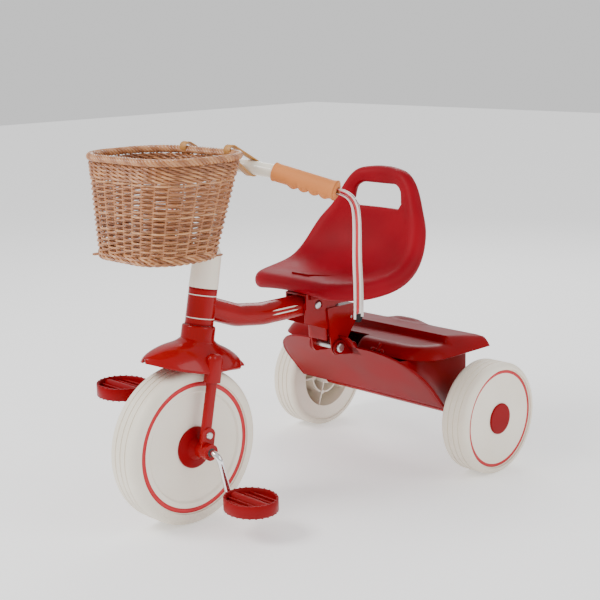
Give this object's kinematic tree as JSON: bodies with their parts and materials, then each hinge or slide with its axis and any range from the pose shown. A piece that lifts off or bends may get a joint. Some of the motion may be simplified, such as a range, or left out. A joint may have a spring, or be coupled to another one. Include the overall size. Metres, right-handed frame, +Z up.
{
  "type": "children's tricycle",
  "caption": "Children's tricycle with pedals on the front wheel, sliding bucket seat, front basket, handlebar streamers and a folding rear storage bin with lid.",
  "frame": {"origin": "on the floor, under the middle of the overall box", "axes": "+Z up; the tricycle faces -Y, so +Y is its rear; the rider's left is +X"},
  "size_m": [0.478, 0.7388, 0.5981],
  "materials": {
    "red_paint": "gloss",
    "red_plastic": "gloss",
    "seat_red": "satin grained",
    "cream_plastic": "satin",
    "cream_tyre": "satin",
    "cream_paint": "gloss",
    "grip": "matte embossed",
    "chrome": "polished",
    "steel": "zinc plated",
    "black_plastic": "matte",
    "wicker": "varnished willow",
    "leather": "smooth",
    "streamer_white": "shiny ribbon",
    "streamer_red": "shiny ribbon"
  },
  "bodies": {
    "frame": {"head_tube": "red_paint", "head_bushes": "black_plastic", "backbone_tube": "red_paint", "seat_bracket": "red_paint", "bracket_bolt": "steel", "hinge_bracket": "red_paint", "fold_bolt": "steel", "lock_pin": "steel", "seat_rail": "red_paint"},
    "fork": {"steerer_tube": "steel", "fork_crown": "red_paint", "fork_legs": "red_paint", "fender": "red_paint", "bearing_brackets": "red_paint", "bearing_bushes": "black_plastic", "dropout_bolts": "steel", "stem_cover": "cream_plastic", "handlebar_post": "cream_paint", "handlebar": "cream_paint", "grip_left": "grip", "grip_right": "grip", "streamer_plugs": "black_plastic", "basket": "wicker", "basket_straps": "leather", "strap_buckles": "steel", "streamer_left_1": "streamer_white", "streamer_left_2": "streamer_red", "streamer_left_3": "streamer_white", "streamer_left_4": "streamer_red", "streamer_left_5": "streamer_white", "streamer_right_1": "streamer_white", "streamer_right_2": "streamer_red", "streamer_right_3": "streamer_white", "streamer_right_4": "streamer_red", "streamer_right_5": "streamer_white"},
    "front_wheel": {"front_tyre": "cream_tyre", "front_wheel_left": "cream_plastic", "front_wheel_right": "cream_plastic", "hub_flanges": "red_plastic", "crank_axle": "chrome"},
    "pedal_left": {"pedal_left": "red_plastic"},
    "pedal_right": {"pedal_right": "red_plastic"},
    "seat": {"seat_shell": "seat_red", "seat_slider": "black_plastic", "seat_screws": "steel", "seat_knob": "black_plastic"},
    "lock_lever": {"lock_lever": "black_plastic"},
    "rear_frame": {"storage_bin": "red_plastic", "lid_pins": "steel", "axle_housing": "red_paint", "axle_spacers": "steel", "rear_axle": "steel", "axle_nuts": "steel"},
    "lid": {"storage_lid": "red_plastic"},
    "rear_wheel_left": {"rear_tyre_left": "cream_tyre", "rear_wheel_left": "cream_plastic", "hub_cap_left": "red_plastic"},
    "rear_wheel_right": {"rear_tyre_right": "cream_tyre", "rear_wheel_right": "cream_plastic", "hub_cap_right": "red_plastic"}
  },
  "joints": [
    {"name": "steering", "type": "hinge", "parent": "frame", "child": "fork", "pos_m": [0, -0.19817, 0.3444], "axis": [0, 0.1994, 0.9799], "range_deg": [-25, 25]},
    {"name": "front_wheel_spin", "type": "hinge", "parent": "fork", "child": "front_wheel", "pos_m": [0, -0.2424, 0.127], "axis": [1, 0, 0], "continuous": true},
    {"name": "pedal_left_spin", "type": "hinge", "parent": "front_wheel", "child": "pedal_left", "pos_m": [0.135, -0.22437, 0.05729], "axis": [1, 0, 0], "continuous": true},
    {"name": "pedal_right_spin", "type": "hinge", "parent": "front_wheel", "child": "pedal_right", "pos_m": [-0.135, -0.26043, 0.19671], "axis": [1, 0, 0], "continuous": true},
    {"name": "seat_slide", "type": "slide", "parent": "frame", "child": "seat", "axis": [0, 1, 0], "range_m": [-0.025, 0.025]},
    {"name": "lock_lift", "type": "hinge", "parent": "frame", "child": "lock_lever", "pos_m": [0, 0.1201, 0.276], "axis": [1, 0, 0], "range_deg": [0, 25], "stiffness_Nm_per_rad": 0.4, "springref_deg": -5.73},
    {"name": "fold", "type": "hinge", "parent": "frame", "child": "rear_frame", "pos_m": [0, 0.0841, 0.228], "axis": [-1, 0, 0], "range_deg": [0, 90]},
    {"name": "lid_open", "type": "hinge", "parent": "rear_frame", "child": "lid", "pos_m": [0, 0.1361, 0.219], "axis": [1, 0, 0], "range_deg": [0, 35]},
    {"name": "rear_wheel_left_spin", "type": "hinge", "parent": "rear_frame", "child": "rear_wheel_left", "pos_m": [0.211, 0.2706, 0.0988], "axis": [1, 0, 0], "continuous": true},
    {"name": "rear_wheel_right_spin", "type": "hinge", "parent": "rear_frame", "child": "rear_wheel_right", "pos_m": [-0.211, 0.2706, 0.0988], "axis": [1, 0, 0], "continuous": true}
  ]
}
